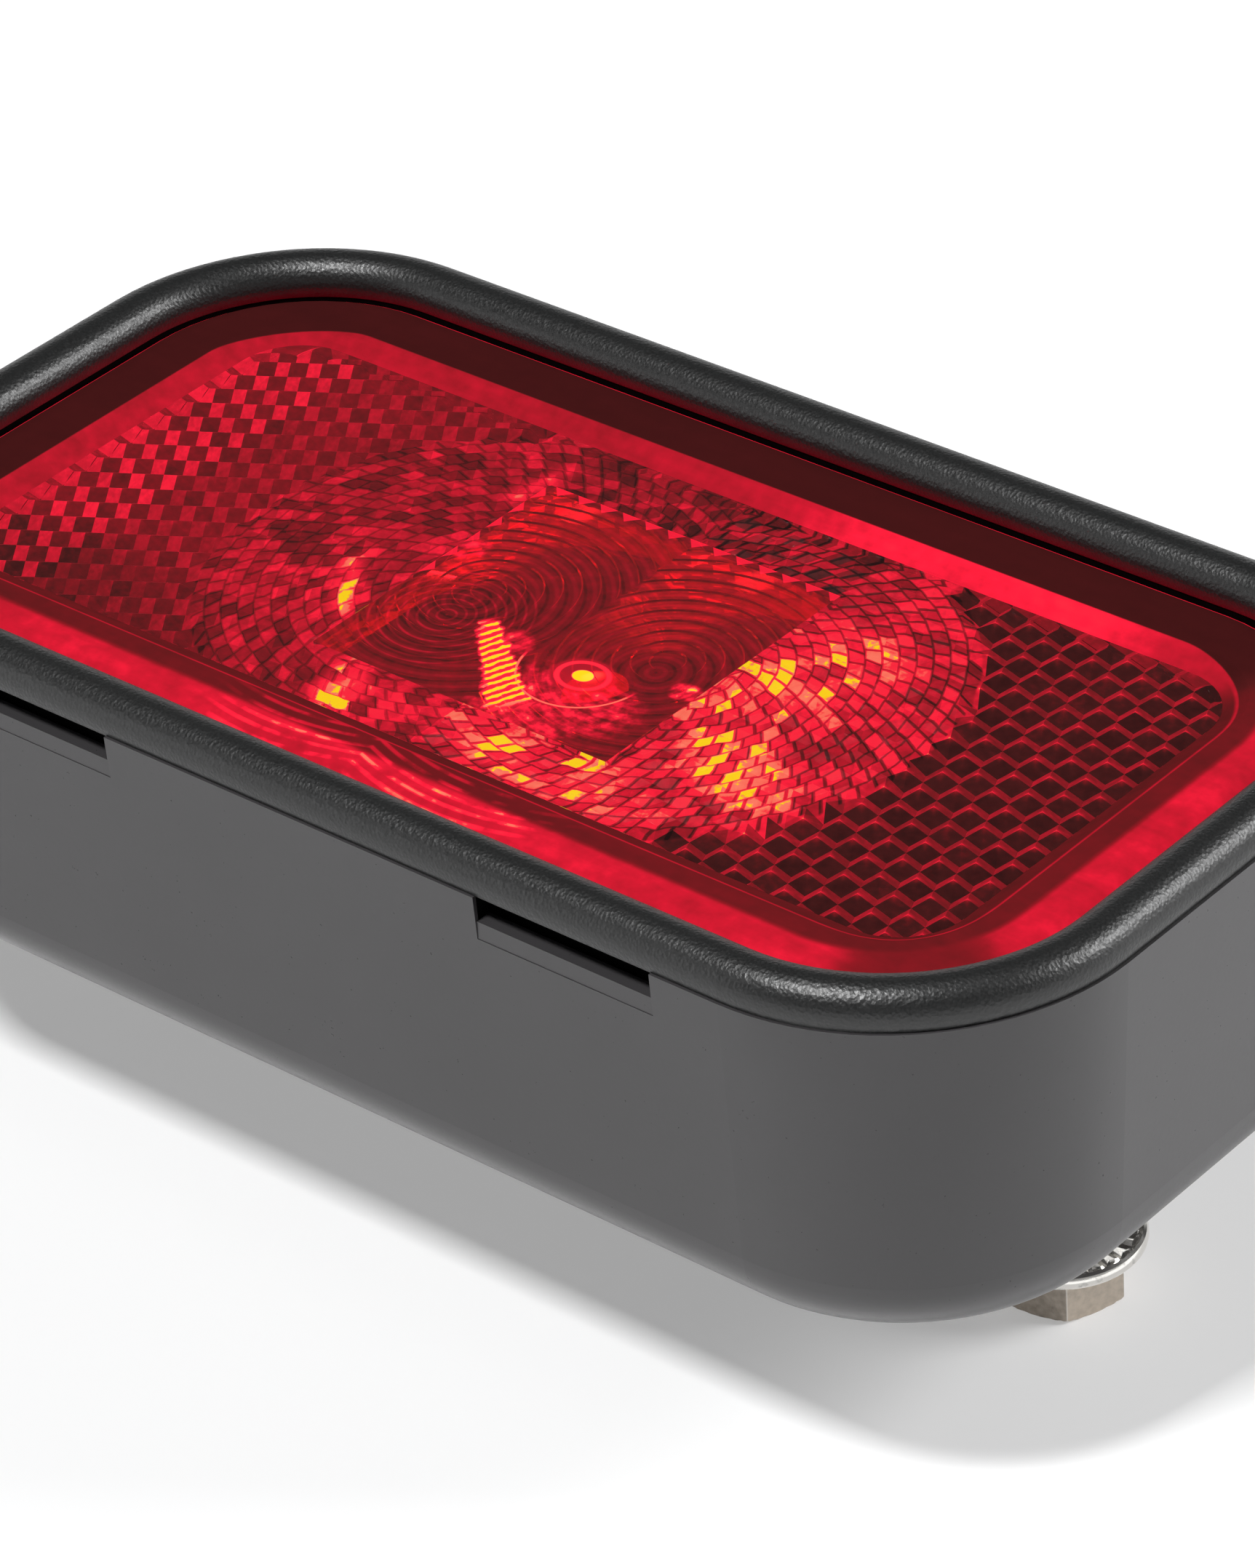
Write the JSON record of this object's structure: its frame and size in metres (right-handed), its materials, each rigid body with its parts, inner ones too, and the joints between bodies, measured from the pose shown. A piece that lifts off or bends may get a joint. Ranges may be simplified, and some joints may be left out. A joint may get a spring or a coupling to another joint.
{
  "type": "bicycle carrier rear light",
  "caption": "Battery rear light for a carrier plate: drafted case, lift-off cover with a ribbed red lens, push button and threaded studs with flange nuts.",
  "frame": {"origin": "the middle of the case's back face, halfway between the two studs", "axes": "+Z from the back face towards the lens, +X along the light through both studs, -Y towards the side with the two rim notches"},
  "size_m": [0.1092, 0.059, 0.0419],
  "materials": {
    "case_plastic": "fine satin grain, dark grey",
    "bezel_plastic": "satin near-black with a fine sparkle",
    "lens_acrylic": "polished clear red, ribbed underneath",
    "seal_rubber": "matt black rubber",
    "tray_plastic": "black, as moulded",
    "screw_steel": "zinc plated",
    "cell_jacket": "plain green printed jacket",
    "contact_steel": "nickel-plated spring steel",
    "board_laminate": "green solder mask",
    "led_epoxy": "clear red epoxy, lit",
    "chip_black": "moulded package",
    "capacitor_tan": "moulded package",
    "plunger_white": "as moulded",
    "button_rubber": "soft-touch black",
    "shroud_grey": "dark grey, as moulded",
    "wire_red_sleeve": "soft sleeve",
    "wire_black_sleeve": "soft sleeve",
    "bolt_steel": "zinc plated",
    "nut_nickel": "bright nickel, warm hexagon sides"
  },
  "bodies": {
    "case": {"housing": "case_plastic", "battery_tray": "tray_plastic", "tray_screws": "screw_steel", "battery_left": "cell_jacket", "battery_right": "cell_jacket", "contact_left": "contact_steel", "contact_right": "contact_steel", "contact_bridge": "contact_steel", "spring_left": "contact_steel", "spring_right": "contact_steel", "circuit_board": "board_laminate", "led_body": "led_epoxy", "led_leads": "contact_steel", "driver_chip": "chip_black", "resistors": "chip_black", "capacitor": "capacitor_tan", "tactile_switch": "chip_black", "button_seal": "seal_rubber", "led_shroud": "shroud_grey", "board_screws": "screw_steel", "wire_red": "wire_red_sleeve", "wire_black": "wire_black_sleeve", "stud_left": "bolt_steel", "stud_right": "bolt_steel", "stud_seal_left": "seal_rubber", "stud_seal_right": "seal_rubber"},
    "cover": {"bezel": "bezel_plastic", "lens": "lens_acrylic", "cover_gasket": "seal_rubber"},
    "button": {"push_button": "button_rubber", "switch_plunger": "plunger_white"},
    "nut_left": {"flange_nut_left": "nut_nickel"},
    "nut_right": {"flange_nut_right": "nut_nickel"}
  },
  "joints": [
    {"name": "cover_lift", "type": "slide", "parent": "case", "child": "cover", "axis": [0, 0, 1], "range_m": [0, 0.03]},
    {"name": "button_press", "type": "slide", "parent": "case", "child": "button", "axis": [0, -1, 0], "range_m": [0, 0.0007], "stiffness_N_per_m": 1200, "springref_m": -0.0002},
    {"name": "nut_left_turn", "type": "hinge", "parent": "case", "child": "nut_left", "pos_m": [-0.04, 0, 0], "axis": [0, 0, 1], "continuous": true},
    {"name": "nut_right_turn", "type": "hinge", "parent": "case", "child": "nut_right", "pos_m": [0.04, 0, 0], "axis": [0, 0, 1], "continuous": true}
  ]
}
